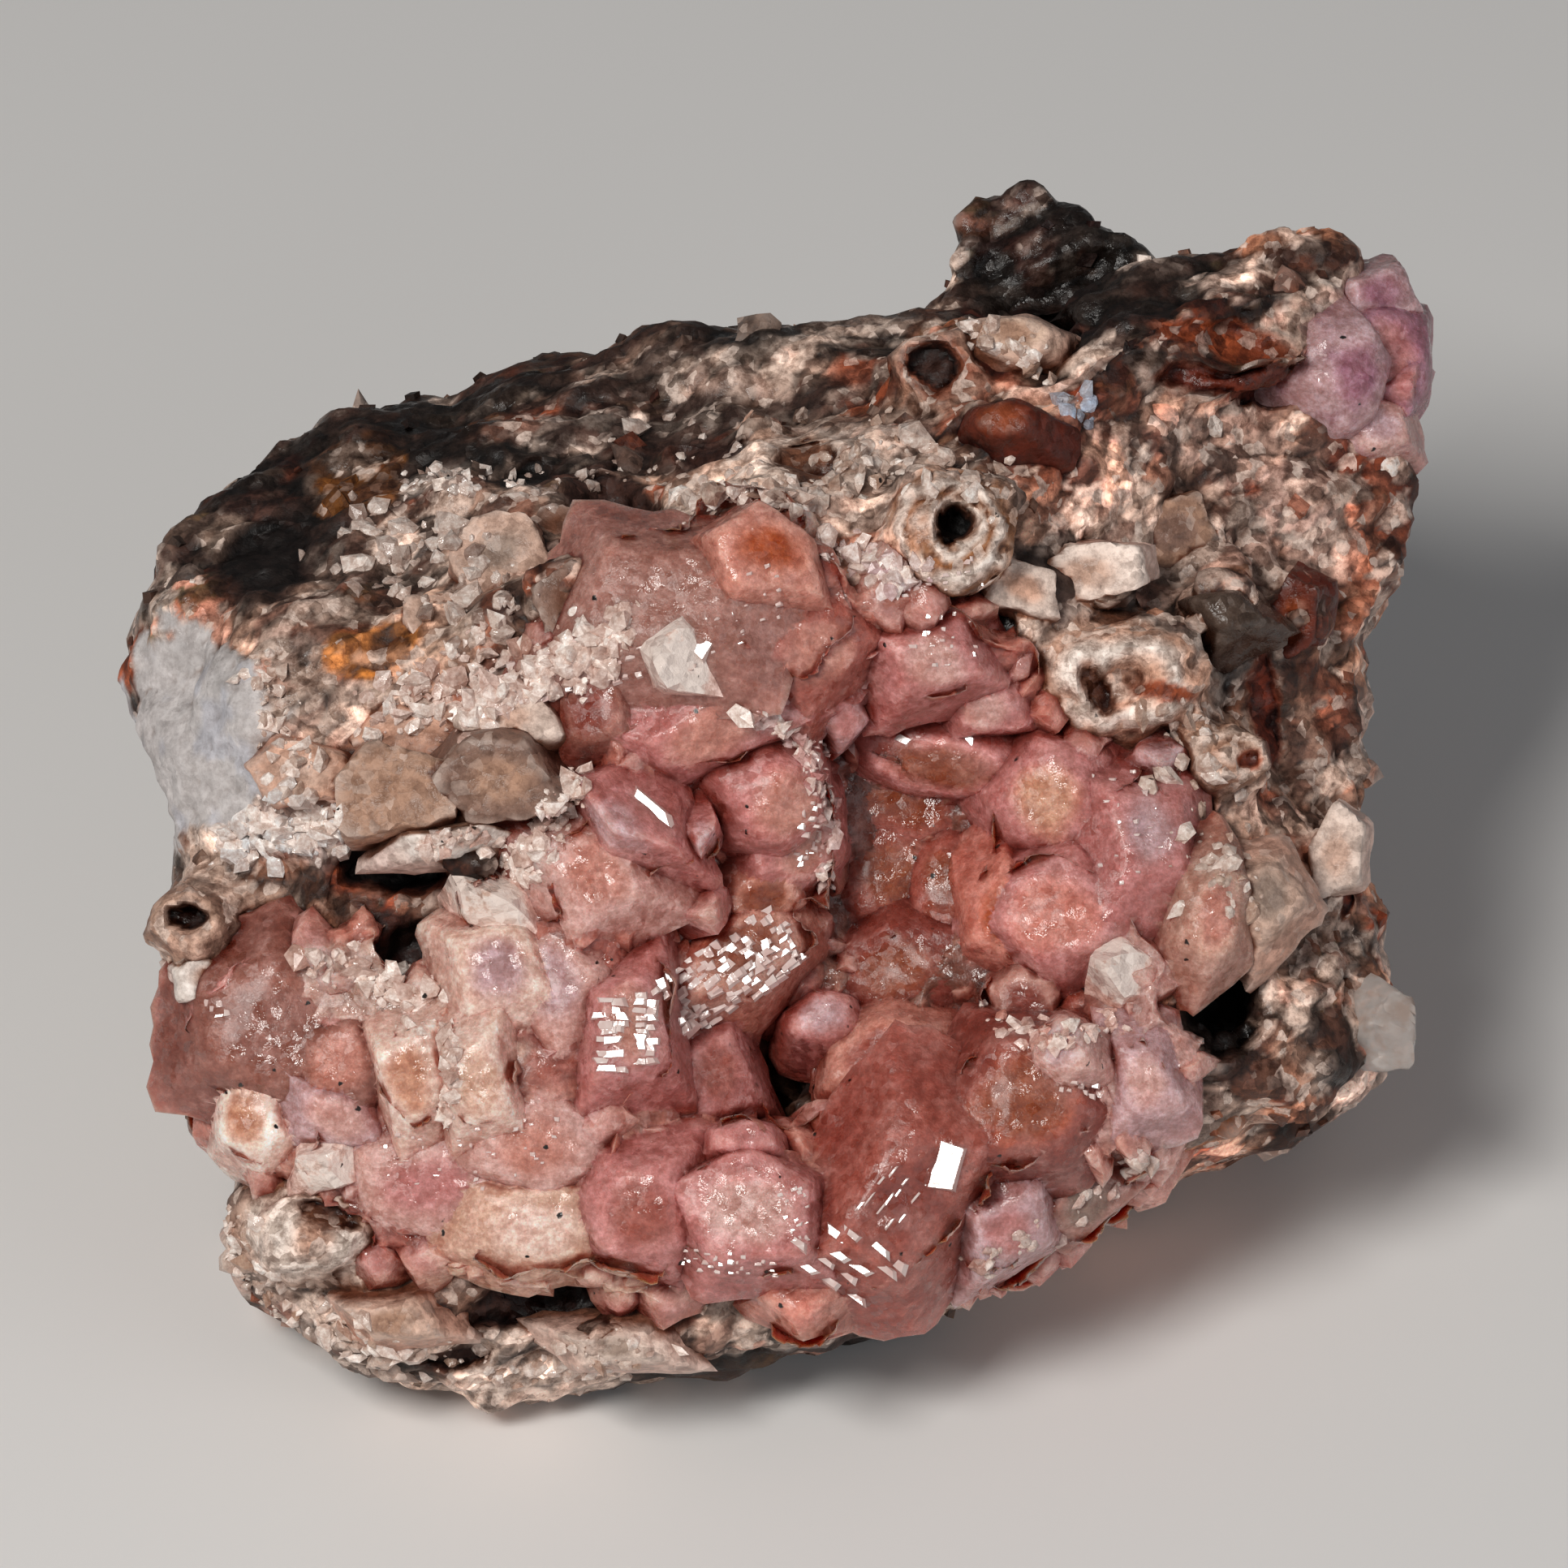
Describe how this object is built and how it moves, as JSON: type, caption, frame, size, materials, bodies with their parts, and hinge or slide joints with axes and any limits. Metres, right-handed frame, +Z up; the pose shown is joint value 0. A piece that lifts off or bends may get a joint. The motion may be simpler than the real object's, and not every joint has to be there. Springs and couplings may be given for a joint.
{
  "type": "cobaltoan calcite specimen",
  "caption": "Broken lump of iron-stained host rock with a shallow pocket of rounded pink cobaltoan calcite crystals, cut flat underneath so that it stands with the crystal face leaning back.",
  "frame": {"origin": "on the flat resting face, near its middle", "axes": "+Z up from the resting face, +X across the crystal face to its right as seen from the front, +Y to the back; the crystal face looks towards -Y and up"},
  "size_m": [0.0599, 0.0517, 0.04],
  "materials": {
    "host_rock": "rough iron-stained carbonate rock with sugary cream calcite, chalky white patches and dark brown pits",
    "pink_calcite": "translucent salmon to rose pink calcite, waxy to glassy on the crystal faces, with cream and rust cores",
    "rose_calcite": "translucent mauve pink calcite, glassy",
    "clear_calcite": "colourless to white calcite, glassy"
  },
  "bodies": {
    "root": {"host_rock": "host_rock", "pocket_crystal_crust": "pink_calcite", "corner_crystal_cluster": "rose_calcite", "edge_crystal": "clear_calcite"}
  },
  "joints": []
}
